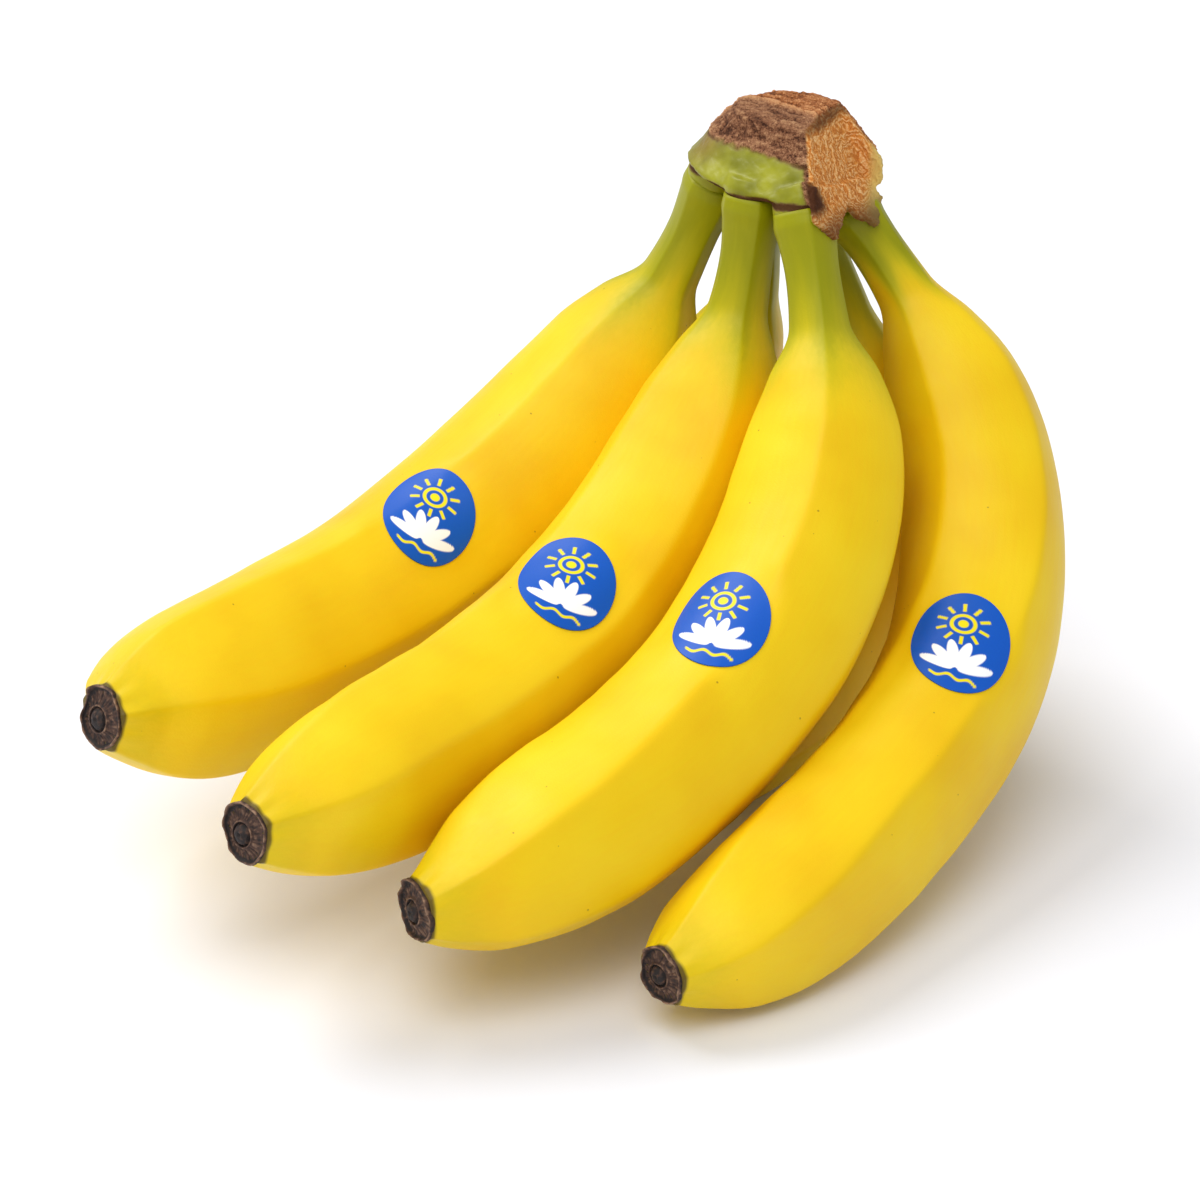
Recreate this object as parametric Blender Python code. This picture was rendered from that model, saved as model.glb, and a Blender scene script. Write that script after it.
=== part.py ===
"""A bunch of six bananas that hang together at one cut crown and rest on their bellies.

The model is in metres with +Z up. The ground is z = 0 and the origin lies under the middle of the bunch.
Four fingers make the front row, from left to right, and two make the back row behind them.
"""
from dataclasses import dataclass
from math import cos, hypot, pi, radians, sin, tau

import bmesh
import bpy
import numpy as np
from mathutils import Matrix, Vector

MM = 0.001
SEAM = 0.3 * MM

# Plan position of the bunch's middle in the layout that the sizes below use, in mm
BUNCH_MIDDLE = (-3.5, 19.2)

# Radius along a finger of full girth, in mm: stations from its root, then from its blossom end. The neck up to
# SLIM_NECK is as slim on every finger.
FULL_GIRTH = 20.0
NECK_STATIONS = (0.0, 10.0, 22.0, 34.0, 48.0, 66.0, 92.0)
NECK_RADII = (6.9, 6.2, 6.9, 12.1, 16.7, 18.9, 19.9)
TIP_STATIONS = (75.0, 52.0, 34.0, 18.0, 6.0, 0.0)
TIP_RADII = (19.4, 19.4, 18.3, 15.2, 9.9, 6.7)
SLIM_NECK = 22.0

# Where along a finger its bend weights stand, as shares of its length
BEND_STATIONS = (0.0, 0.14, 0.28, 0.45, 0.72)

# Cross-section: five sides with rounded ridges, as shares of the mean radius
SIDES = 5
STEPS_PER_SIDE = 4
RIDGE_STRENGTH = 0.36
RIDGE_ROUNDING = 0.12
MEAN_FLAT = 0.8548
RINGS = 34
FINE_RUN = 400

# Dried blossom end of a finger of full girth: radius and height above the peel's end, in mm, from rim to middle
BLOSSOM_PROFILE = ((6.5, 0.0), (7.1, 1.2), (6.7, 2.6), (5.1, 3.0), (4.0, 1.9), (2.7, 2.1), (2.1, 3.6), (0.9, 4.2))
BLOSSOM_SIDES = 14

# Crown: plan outline of the pad with its lower and upper edge heights, before its side cut, in mm
CROWN_OUTLINE = (
    (20.5, 80.0, 141.5, 149.5), (22.5, 71.5, 140.5, 149.8), (28.0, 64.0, 139.6, 150.0), (36.5, 55.5, 139.4, 149.8),
    (45.5, 48.5, 140.8, 149.6), (57.0, 50.0, 141.0, 148.0), (64.0, 62.0, 139.0, 146.0), (66.5, 75.0, 137.6, 143.0),
    (65.0, 86.0, 136.6, 142.0), (58.0, 95.5, 137.6, 148.0), (46.0, 101.0, 139.0, 150.6), (32.0, 98.5, 140.4, 149.6),
    (23.0, 90.5, 141.4, 149.4),
)
CROWN_MIDDLE = (45.0, 77.0)
CROWN_PEAK = 156.0
CROWN_HOLLOW = 140.8
CROWN_EDGE = 2.0
# The upper edge is the outline drawn in towards the back right, so that the front wall leans back
SHOULDER_MIDDLE = (66.0, 95.0)
SHOULDER_SCALE = 0.87
CUT_POINT = (45.7, 50.0, 149.8)
CUT_NORMAL = (0.82, -0.38, 0.43)
CUT_SIZE = 60.0
STUB_SIDES = 14
STUB_TOP = 143.8
STUB_RADII = (6.7, 6.8, 5.6)
STUB_LEAN = 0.6

# Label: an oval patch that lies on the peel, in mm
LABEL_WIDTH = 23.0
LABEL_HEIGHT = 30.0
LABEL_THICKNESS = 0.6
LABEL_LIFT = 0.5
LABEL_RINGS = 3
LABEL_SIDES = 24


@dataclass(frozen=True)
class Finger:
    """One banana: where it leaves the crown, how it bends and how large it is."""

    number: int
    root: tuple       # middle of the neck where it starts to bend, in mm
    lean: tuple       # how far the neck leans in x and y for each unit that it drops
    heading: float    # where the blossom end points in plan, in degrees from -X towards -Y
    rise: float       # how steeply the blossom end points up, in degrees
    bend: tuple       # how the bend is shared out at BEND_STATIONS
    length: float     # along the middle line, in mm
    reach: float      # how far the neck goes on straight above its root, in mm
    girth: float      # radius of the belly, in mm
    ridge: float      # turn of the first ridge from the inside of the bend, in degrees
    label: tuple = ()  # place of the label: mm from the root, turn in degrees, tilt in degrees


FINGERS = (
    Finger(1, (25.4, 81.1, 132.4), (-0.337, 0.227), 57, 16, (1.02, 0.97, 1.40, 0.87, 0.60), 223.5, 5, 22.0, -60,
           (118.7, -5.6, -26)),
    Finger(2, (35.1, 63.7, 134.5), (-0.078, -0.046), 54, 12, (0.85, 1.19, 1.38, 0.93, 0.43), 225.8, 4, 20.2, -57,
           (117.3, -15.7, -22)),
    Finger(3, (47.1, 52.7, 134.1), (0.176, -0.459), 37, 4, (0.20, 0.76, 1.87, 1.28, 0.84), 210.5, 3.4, 20.9, -53,
           (110.3, -30.5, -17)),
    Finger(4, (59.7, 75.2, 130.8), (0.773, -0.202), 44, 0, (0.49, 1.08, 1.61, 1.30, 0.50), 241.5, 1, 19.4, -16,
           (126.8, -52.1, -10)),
    Finger(5, (37.1, 94.4, 123.5), (0.14, 0.31), 21, 13, (1.12, 1.13, 1.06, 0.93, 0.75), 204, 1, 18.6, -36),
    Finger(6, (50.4, 86.3, 122.8), (0.50, 0.11), 37.6, 20.6, (0.79, 1.01, 0.93, 1.32, 1.30), 176, 1, 18.2, -36),
)

# Colours, roughness: (red, green, blue) in linear light
PEEL = ("peel", (0.82, 0.54, 0.02), 0.42)
BLOSSOM = ("blossom", (0.045, 0.027, 0.018), 0.85)
CROWN_FLESH = ("crown", (0.30, 0.15, 0.05), 0.80)
LABEL = ("label", (0.005, 0.09, 0.42), 0.35)


def smooth_curve(knots, values, at):
    """Cubic through the knots that never overshoots them, read at the given places."""
    knots = np.asarray(knots, float)
    values = np.asarray(values, float)
    span = np.diff(knots)
    slope = np.diff(values) / span
    tangent = np.zeros(len(knots))
    tangent[0] = slope[0]
    tangent[-1] = slope[-1]
    for i in range(1, len(knots) - 1):
        before = slope[i - 1]
        after = slope[i]
        if before * after > 0:
            share = 2 * span[i] + span[i - 1]
            other = span[i] + 2 * span[i - 1]
            tangent[i] = (share + other) / (share / before + other / after)
    at = np.clip(np.asarray(at, float), knots[0], knots[-1])
    place = np.clip(np.searchsorted(knots, at, side="right") - 1, 0, len(span) - 1)
    run = span[place]
    u = (at - knots[place]) / run
    low = values[place]
    high = values[place + 1]
    return ((1 + 2 * u) * (1 - u) ** 2 * low + u * (1 - u) ** 2 * run * tangent[place]
            + u * u * (3 - 2 * u) * high + u * u * (u - 1) * run * tangent[place + 1])


def unit(vector):
    """The vector at length one."""
    return np.asarray(vector, float) / np.linalg.norm(vector)


class Spine:
    """Middle line of one finger, with its directions and radius at any distance from the root."""

    def __init__(self, finger):
        """Bend the line in one plane, from the neck's lean to the blossom end's direction."""
        self.finger = finger
        self.girth_share = finger.girth / FULL_GIRTH
        start = unit((finger.lean[0], finger.lean[1], -1.0))
        heading = radians(finger.heading)
        rise = radians(finger.rise)
        end = np.array((-cos(heading) * cos(rise), -sin(heading) * cos(rise), sin(rise)))
        turn = np.arccos(start @ end)
        inward = unit(end - start * (start @ end))
        share = np.linspace(0, 1, FINE_RUN)
        weight = smooth_curve(BEND_STATIONS + (1.0,), finger.bend + finger.bend[-1:], share)
        angle = np.concatenate(([0.0], np.cumsum((weight[1:] + weight[:-1]) / 2)))
        angle *= turn / angle[-1]
        along = np.outer(np.cos(angle), start) + np.outer(np.sin(angle), inward)
        step = finger.length / (FINE_RUN - 1)
        middle = (along[1:] + along[:-1]) / 2 * step
        place = np.concatenate((np.zeros((1, 3)), np.cumsum(middle, axis=0)))
        place += np.array(finger.root) - np.array((*BUNCH_MIDDLE, 0.0))
        self.distance = np.concatenate(([-finger.reach], share * finger.length))
        self.place = np.vstack((place[:1] - start * finger.reach, place))
        self.along = np.vstack((along[:1], along))
        self.side = unit(np.cross(start, inward))

    def frame(self, distance):
        """Place, direction and inward normal at a distance in mm from the root."""
        place = np.array([np.interp(distance, self.distance, self.place[:, k]) for k in range(3)])
        along = unit([np.interp(distance, self.distance, self.along[:, k]) for k in range(3)])
        return place, along, np.cross(self.side, along)

    def radius(self, distance):
        """Mean radius in mm at a distance in mm from the root."""
        stations = NECK_STATIONS + tuple(self.finger.length - station for station in TIP_STATIONS)
        scales = [1.0 if station <= SLIM_NECK else self.girth_share for station in stations]
        radii = [radius * scale for radius, scale in zip(NECK_RADII + TIP_RADII, scales)]
        return float(smooth_curve(stations, radii, distance))

    def point(self, distance, turn, lift=0.0):
        """Point on the peel, at a turn in radians from the inside of the bend, raised by lift in mm."""
        place, along, inward = self.frame(distance)
        reach = self.radius(distance) * section(turn - radians(self.finger.ridge)) + lift
        return place + reach * (cos(turn) * inward + sin(turn) * self.side)


def section(turn):
    """Radius of the five-sided section as a share of its mean, with a ridge at turn 0."""
    side = tau / SIDES
    offset = (turn + side / 2) % side - side / 2
    flat = cos(pi / SIDES) / cos(pi / SIDES - hypot(offset, RIDGE_ROUNDING))
    return 1 + RIDGE_STRENGTH * (flat / MEAN_FLAT - 1)


def material(name, colour, roughness):
    """Plain Principled material with a colour and a roughness."""
    existing = bpy.data.materials.get(name)
    if existing:
        return existing
    made = bpy.data.materials.new(name)
    made.use_nodes = True
    shader = made.node_tree.nodes["Principled BSDF"]
    shader.inputs["Base Color"].default_value = (*colour, 1.0)
    shader.inputs["Roughness"].default_value = roughness
    shader.inputs["Metallic"].default_value = 0.0
    made.diffuse_color = (*colour, 1.0)
    return made


def add_object(name, mesh_bm, finish):
    """New object from a bmesh in mm, shaded smooth, with its finish."""
    bmesh.ops.recalc_face_normals(mesh_bm, faces=mesh_bm.faces)
    bmesh.ops.scale(mesh_bm, vec=(MM, MM, MM), verts=mesh_bm.verts)
    mesh = bpy.data.meshes.new(name)
    mesh_bm.to_mesh(mesh)
    mesh_bm.free()
    mesh.materials.append(material(*finish))
    mesh.shade_smooth()
    made = bpy.data.objects.new(name, mesh)
    bpy.context.scene.collection.objects.link(made)
    return made


def loft(rings):
    """Closed bmesh from rings of points in order, with a flat fan at both ends."""
    shape = bmesh.new()
    rows = [[shape.verts.new(point) for point in ring] for ring in rings]
    count = len(rows[0])
    for lower, upper in zip(rows, rows[1:]):
        for k in range(count):
            after = (k + 1) % count
            shape.faces.new((lower[k], lower[after], upper[after], upper[k]))
    for row in (rows[0], rows[-1]):
        middle = shape.verts.new(np.mean([vertex.co[:] for vertex in row], axis=0))
        for k in range(count):
            shape.faces.new((row[k], row[(k + 1) % count], middle))
    return shape


def build_banana(spine):
    """One finger's peel from neck to blossom end, flat where it rests on the ground."""
    finger = spine.finger
    count = SIDES * STEPS_PER_SIDE
    rings = []
    for distance in np.linspace(-finger.reach, finger.length, RINGS + 1):
        ring = []
        for j in range(count):
            point = spine.point(distance, radians(finger.ridge) + tau * j / count)
            point[2] = max(point[2], 0.0)
            ring.append(point)
        rings.append(ring)
    return add_object(f"banana_{finger.number}", loft(rings), PEEL)


def build_blossom(spine):
    """The dried blossom end: a rim round a sunk ring with a nub in its middle."""
    finger = spine.finger
    place, along, inward = spine.frame(finger.length)
    rings = []
    for radius, height in BLOSSOM_PROFILE:
        centre = place + along * (height + SEAM / MM)
        reach = radius * spine.girth_share
        turns = [tau * j / BLOSSOM_SIDES for j in range(BLOSSOM_SIDES)]
        rings.append([centre + reach * (cos(turn) * inward + sin(turn) * spine.side) for turn in turns])
    return add_object(f"banana_{finger.number}_tip", loft(rings), BLOSSOM)


def label_point(spine, across, up, lift):
    """Point of the label at across and up in mm from its middle, on the peel and raised by lift."""
    distance, turn, tilt = spine.finger.label
    tilt = radians(tilt)
    forward = -up * cos(tilt) - across * sin(tilt)
    sideways = across * cos(tilt) - up * sin(tilt)
    radius = spine.radius(distance)
    return spine.point(distance + forward, radians(turn) + sideways / radius, lift)


def build_label(spine):
    """Thin oval that follows the peel's curve."""
    lifts = (LABEL_LIFT, LABEL_LIFT + LABEL_THICKNESS)
    shape = bmesh.new()
    layers = []
    for lift in lifts:
        middle = shape.verts.new(label_point(spine, 0, 0, lift))
        rings = []
        for r in range(1, LABEL_RINGS + 1):
            share = r / LABEL_RINGS
            ring = []
            for k in range(LABEL_SIDES):
                turn = tau * k / LABEL_SIDES
                across = share * LABEL_WIDTH / 2 * cos(turn)
                up = share * LABEL_HEIGHT / 2 * sin(turn)
                ring.append(shape.verts.new(label_point(spine, across, up, lift)))
            rings.append(ring)
        layers.append((middle, rings))
    for middle, rings in layers:
        for k in range(LABEL_SIDES):
            after = (k + 1) % LABEL_SIDES
            shape.faces.new((middle, rings[0][k], rings[0][after]))
            for inner, outer in zip(rings, rings[1:]):
                shape.faces.new((inner[k], outer[k], outer[after], inner[after]))
    low = layers[0][1][-1]
    high = layers[1][1][-1]
    for k in range(LABEL_SIDES):
        after = (k + 1) % LABEL_SIDES
        shape.faces.new((low[k], high[k], high[after], low[after]))
    return add_object(f"label_{spine.finger.number}", shape, LABEL)


def crown_ring(scale, share, shift, middle=CROWN_MIDDLE):
    """One ring of the crown's pad: its outline scaled about a middle, between its lower and upper edges."""
    ring = []
    for x, y, low, high in CROWN_OUTLINE:
        px = middle[0] + scale * (x - middle[0])
        py = middle[1] + scale * (y - middle[1])
        ring.append((px - BUNCH_MIDDLE[0], py - BUNCH_MIDDLE[1], low + share * (high - low) + shift))
    return ring


def level_ring(scale, height):
    """The pad's outline scaled about the middle, at one height."""
    return [(x, y, height) for x, y, _ in crown_ring(scale, 0.0, 0.0)]


def build_stub(spine):
    """Short end of a neck, from its seam up into the crown's pad."""
    place, along, inward = spine.frame(-spine.finger.reach)
    low = place - along * SEAM / MM
    climb = STUB_TOP - low[2]
    top = low + climb * np.array((STUB_LEAN * along[0] / along[2], STUB_LEAN * along[1] / along[2], 1.0))
    turns = [tau * j / STUB_SIDES for j in range(STUB_SIDES)]
    rings = []
    for k, radius in enumerate(STUB_RADII):
        share = k / (len(STUB_RADII) - 1)
        centre = low + share * (top - low)
        rings.append([centre + radius * (cos(turn) * inward + sin(turn) * spine.side) for turn in turns])
    return add_object(f"stub_{spine.finger.number}", loft(rings), CROWN_FLESH)


def build_cutter():
    """Block whose one face is the plane of the crown's side cut."""
    shape = bmesh.new()
    bmesh.ops.create_cube(shape, size=CUT_SIZE)
    normal = Vector(CUT_NORMAL).normalized()
    turn = normal.to_track_quat("Z", "Y").to_matrix().to_4x4()
    middle = Vector(CUT_POINT) - Vector((*BUNCH_MIDDLE, 0.0)) + normal * CUT_SIZE / 2
    bmesh.ops.transform(shape, matrix=Matrix.Translation(middle) @ turn, verts=shape.verts)
    return add_object("cutter", shape, CROWN_FLESH)


def build_crown(spines):
    """The pad that the necks grow from, with a short stub for each neck and its right side cut off square."""
    crown = add_object("crown", loft([
        level_ring(0.5, CROWN_HOLLOW),
        crown_ring(0.94, 0.0, 0.0),
        crown_ring(1.0, 0.0, CROWN_EDGE),
        crown_ring(SHOULDER_SCALE, 1.0, 0.0, SHOULDER_MIDDLE),
        level_ring(0.5, CROWN_PEAK),
    ]), CROWN_FLESH)
    helpers = [(build_stub(spine), "UNION") for spine in spines] + [(build_cutter(), "DIFFERENCE")]
    for helper, operation in helpers:
        helper.hide_render = True
        helper.display_type = "WIRE"
        step = crown.modifiers.new(helper.name, "BOOLEAN")
        step.operation = operation
        step.object = helper
        step.solver = "EXACT"
    apply_modifiers(crown)
    for helper, _ in helpers:
        bpy.data.objects.remove(helper)
    return crown


def apply_modifiers(target):
    """Replace the object's mesh with what its modifiers make of it."""
    seen = bpy.context.evaluated_depsgraph_get()
    mesh = bpy.data.meshes.new_from_object(target.evaluated_get(seen))
    target.modifiers.clear()
    target.data = mesh


def main():
    """Clear the scene and build every piece of the bunch."""
    for leftover in list(bpy.data.objects):
        bpy.data.objects.remove(leftover)
    spines = [Spine(finger) for finger in FINGERS]
    build_crown(spines)
    for spine in spines:
        build_banana(spine)
        build_blossom(spine)
        if spine.finger.label:
            build_label(spine)


main()
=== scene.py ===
"""A bunch of six bananas, dressed for a picture.

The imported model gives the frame, and each piece here takes the place of one of its nodes: the ridged waxy peels with
their green necks, the dried blossom ends, the cut crown and the oval labels. Lengths are in millimetres until a mesh
is made. The ground is z = 0 and the front row faces -Y.
"""
import logging
from collections.abc import Mapping, Sequence
from dataclasses import dataclass
from enum import Enum
from math import cos, pi, radians, sin, tan, tau
from typing import Any

import bmesh
import bpy
import numpy as np
from mathutils import Matrix, Vector, noise


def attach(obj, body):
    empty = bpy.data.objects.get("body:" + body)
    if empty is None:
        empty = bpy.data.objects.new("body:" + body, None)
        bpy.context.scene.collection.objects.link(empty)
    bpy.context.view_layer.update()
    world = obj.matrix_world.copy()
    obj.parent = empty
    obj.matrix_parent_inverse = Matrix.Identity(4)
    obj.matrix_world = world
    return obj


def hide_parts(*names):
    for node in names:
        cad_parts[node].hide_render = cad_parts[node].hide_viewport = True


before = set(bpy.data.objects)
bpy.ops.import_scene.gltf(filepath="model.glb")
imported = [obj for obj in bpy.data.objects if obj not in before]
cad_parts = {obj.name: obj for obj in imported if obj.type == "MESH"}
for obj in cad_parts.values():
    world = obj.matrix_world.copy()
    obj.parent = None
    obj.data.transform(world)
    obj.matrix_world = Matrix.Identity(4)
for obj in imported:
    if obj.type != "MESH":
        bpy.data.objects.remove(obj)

LOG = logging.getLogger("bananas")
Array = np.ndarray
Colour = tuple[float, float, float, float]
Socket = bpy.types.NodeSocket
Node = bpy.types.Node
Material = bpy.types.Material
Object = bpy.types.Object
Pair = tuple[float, float]
Point = tuple[float, float, float]

MM = 0.001
BODY = "root"

# Plan position of the bunch's middle in the layout that the sizes below use
BUNCH_MIDDLE = np.array((-3.5, 19.2, 0.0))

# Radius along a finger of full girth: stations from its root, then from its blossom end
FULL_GIRTH = 20.0
NECK_STATIONS = (0.0, 10.0, 22.0, 34.0, 48.0, 66.0, 92.0)
NECK_RADII = (6.9, 6.2, 6.9, 12.1, 16.7, 18.9, 19.9)
TIP_STATIONS = (75.0, 52.0, 34.0, 18.0, 6.0, 0.0)
TIP_RADII = (19.4, 19.4, 18.3, 15.2, 9.9, 6.7)
SLIM_NECK = 22.0
BEND_STATIONS = (0.0, 0.14, 0.28, 0.45, 0.72, 1.0)
FINE_RUN = 400

# Cross-section: five sides with ridges rounded off over a degree or two, as shares of the mean radius
SIDES = 5
RIDGE_STRENGTH = 0.46
RIDGE_ROUNDING = 0.035
MEAN_FLAT = 0.8641

# Half the width and height of a label
LABEL_HALVES = (11.5, 15.0)


class Slot(Enum):
    """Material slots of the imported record."""

    PEEL = "peel"
    BLOSSOM = "blossom"
    CROWN = "crown"
    LABEL = "label"


class Ink(Enum):
    """Inks printed on the label's blue ground."""

    WHITE = "white_ink"
    YELLOW = "yellow_ink"


def linear(hex_colour: str) -> Colour:
    """Turn an sRGB hex colour to the linear values that shaders take.

    Args:
        hex_colour: Colour such as "#F2C40F".

    Returns:
        Red, green, blue and an alpha of one.
    """
    parts = [int(hex_colour[k:k + 2], 16) / 255 for k in (1, 3, 5)]
    curve = [part / 12.92 if part <= 0.04045 else ((part + 0.055) / 1.055) ** 2.4 for part in parts]
    return curve[0], curve[1], curve[2], 1.0


@dataclass
class MaterialTree:
    """Node tree of one material."""

    name: str

    def __post_init__(self) -> None:
        """Start an empty material that has one Principled shader."""
        self.material = bpy.data.materials.new(self.name)
        self.material.use_nodes = True
        self.material.node_tree.nodes.clear()
        self.shader = self.add("BsdfPrincipled")
        self.add("OutputMaterial", Surface=self.shader)

    def add(self, kind: str, *inputs: Any, **settings: Any) -> Node:
        """Add a node with its settings and links.

        Args:
            kind: The node's type, without the prefix that all shader nodes share.
            inputs: What goes in its first inputs.
            settings: Its other settings and inputs, as fill takes them.

        Returns:
            The node.
        """
        node = self.material.node_tree.nodes.new(f"ShaderNode{kind}")
        self.fill(node, {**settings, **dict(zip((socket.identifier for socket in node.inputs), inputs))})
        return node

    def fill(self, node: Node, settings: Mapping[str, Any]) -> None:
        """Set or link a node's inputs and set its properties.

        Args:
            node: The node.
            settings: Sockets, nodes or values by the name of an input or property. A node gives its first output.
                Colours are sRGB hex, and "stops" fills a colour ramp with pairs of position and colour.
        """
        sockets = {socket.identifier: socket for socket in node.inputs}
        for name, value in settings.items():
            if isinstance(value, Node):
                value = next(socket for socket in value.outputs if socket.enabled)
            if isinstance(value, Socket):
                self.material.node_tree.links.new(value, sockets[name])
            elif name == "stops":
                elements = node.color_ramp.elements
                while len(elements) < len(value):
                    elements.new(1.0)
                for element, (position, colour) in zip(elements, value):
                    element.position = position
                    element.color = linear(colour)
            elif name in sockets:
                sockets[name].default_value = linear(value) if isinstance(value, str) else value
            else:
                setattr(node, name, value)


def smooth_curve(knots: Sequence[float], values: Sequence[float], at: Array) -> Array:
    """Read a cubic through the knots that never overshoots them.

    Args:
        knots: Stations in rising order.
        values: Value at each station.
        at: Places to read.

    Returns:
        The curve's value at each place.
    """
    stations = np.asarray(knots, float)
    heights = np.asarray(values, float)
    span = np.diff(stations)
    slope = np.diff(heights) / span
    tangent = np.zeros(len(stations))
    tangent[0] = slope[0]
    tangent[-1] = slope[-1]
    for i in range(1, len(stations) - 1):
        before, after = slope[i - 1], slope[i]
        if before * after > 0:
            share = 2 * span[i] + span[i - 1]
            other = span[i] + 2 * span[i - 1]
            tangent[i] = (share + other) / (share / before + other / after)
    places = np.clip(np.asarray(at, float), stations[0], stations[-1])
    index = np.clip(np.searchsorted(stations, places, side="right") - 1, 0, len(span) - 1)
    run = span[index]
    u = (places - stations[index]) / run
    return ((1 + 2 * u) * (1 - u) ** 2 * heights[index] + u * (1 - u) ** 2 * run * tangent[index]
            + u * u * (3 - 2 * u) * heights[index + 1] + u * u * (u - 1) * run * tangent[index + 1])


def ease(low: float, high: float, at: Array) -> Array:
    """Rise smoothly from 0 at low to 1 at high."""
    u = np.clip((np.asarray(at, float) - low) / (high - low), 0, 1)
    return u * u * (3 - 2 * u)


def bell(at: Array, middle: float, width: float) -> Array:
    """Rise to 1 at the middle and fade on both sides over about the width."""
    return np.exp(-((at - middle) / width) ** 2)


def waves(turn: Array, *terms: Point) -> Array:
    """Add up waves round a circle, each with its number, height and phase."""
    return sum(height * np.cos(number * turn + phase) for number, height, phase in terms)


def unit(vector: Array) -> Array:
    """The vector, or each row of an array of them, at length one."""
    array = np.asarray(vector, float)
    return array / np.linalg.norm(array, axis=-1, keepdims=True)


def grain(points: Array, size: float, seed: float = 0.0, octaves: int = 3) -> Array:
    """Read fractal noise at points.

    Args:
        points: Places in mm, one a row.
        size: Size of the coarsest lumps in mm.
        seed: Shift that picks another pattern.
        octaves: How many finer layers are added.

    Returns:
        Noise of about -1 to 1 at each point.
    """
    scaled = np.asarray(points, float) / size + seed
    return np.array([noise.fractal(row, 0.9, 2.0, octaves) for row in scaled.tolist()])


def section(turn: Array, strength: Array | float = RIDGE_STRENGTH) -> Array:
    """Radius of the five-sided section as a share of its mean, with a ridge at turn 0.

    Args:
        turn: Angle round the finger from a ridge, in radians.
        strength: How far the section goes from round, 0, to five flat sides, 1.

    Returns:
        Share of the mean radius.
    """
    side = tau / SIDES
    offset = (turn + side / 2) % side - side / 2
    flat = cos(pi / SIDES) / np.cos(pi / SIDES - np.hypot(offset, RIDGE_ROUNDING))
    return 1 + strength * (flat / MEAN_FLAT - 1)


@dataclass(frozen=True)
class Ripples:
    """Smooth irregular swelling of a grown surface: a seeded sum of waves along and round a finger."""

    seed: int
    wavelength: float
    most_rounds: int
    waves: int = 9

    def height(self, along: Array, turn: Array) -> Array:
        """Read the swelling.

        Args:
            along: Distance from the root in mm.
            turn: Angle round the finger in radians.

        Returns:
            Height of about -1 to 1.
        """
        draw = np.random.default_rng(self.seed)
        total = np.zeros(np.broadcast(along, turn).shape)
        for _ in range(self.waves):
            pace = tau / (self.wavelength * draw.uniform(0.6, 1.8))
            rounds = draw.integers(0, self.most_rounds + 1)
            first, second = draw.uniform(0, tau, 2)
            total = total + np.sin(pace * along + first) * np.cos(rounds * turn + second)
        return total / self.waves ** 0.5


@dataclass(frozen=True)
class Finger:
    """One banana: where it leaves the crown, how it bends and how large it is."""

    number: int
    root: Point
    lean: Pair
    heading: float
    rise: float
    bend: tuple[float, ...]
    length: float
    reach: float
    girth: float
    ridge: float
    drift: tuple[Pair, ...]
    label: Point | None = None
    tip_tilt: float = 0.0
    droop: float = 0.0
    green_run: float = 54.0


FINGERS = (
    Finger(1, (25.4, 81.1, 132.4), (-0.337, 0.227), 57, 16, (1.02, 0.97, 1.40, 0.87, 0.60), 223.5, 5, 22.0, -60,
           ((90, -5), (150, 0), (187, 4), (221, 14)), (118.7, -5.6, -26), tip_tilt=15, droop=0.8),
    Finger(2, (35.1, 63.7, 134.5), (-0.078, -0.046), 54, 12, (0.85, 1.19, 1.38, 0.93, 0.43), 225.8, 4, 20.2, -57,
           ((30, 10), (72, 8), (120, 0), (178, 0), (205, -5), (224, 0)), (117.3, -15.7, -22), tip_tilt=7, droop=2.0),
    Finger(3, (47.1, 52.7, 134.1), (0.176, -0.459), 37, 4, (0.20, 0.76, 1.87, 1.28, 0.84), 210.5, 3.4, 20.9, -53,
           ((15, -10), (64, 4), (129, 3), (179, -9), (210, -16)), (110.3, -30.5, -17), tip_tilt=7, droop=2.2),
    Finger(4, (59.7, 75.2, 130.8), (0.773, -0.202), 44, 0, (0.49, 1.08, 1.61, 1.30, 0.50), 241.5, 1, 19.4, -16,
           ((64, -9), (100, -1), (140, 8), (170, 8), (210, -5), (238, -20)), (126.8, -52.1, -10), green_run=28),
    Finger(5, (37.1, 94.4, 123.5), (0.14, 0.31), 21, 13, (1.12, 1.13, 1.06, 0.93, 0.75), 204, 1, 18.6, -36,
           ((40, -6), (110, 3), (200, -8))),
    Finger(6, (50.4, 86.3, 122.8), (0.50, 0.11), 37.6, 20.6, (0.79, 1.01, 0.93, 1.32, 1.30), 176, 1, 18.2, -36,
           ((40, 6), (110, -3), (190, 9))),
)


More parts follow.
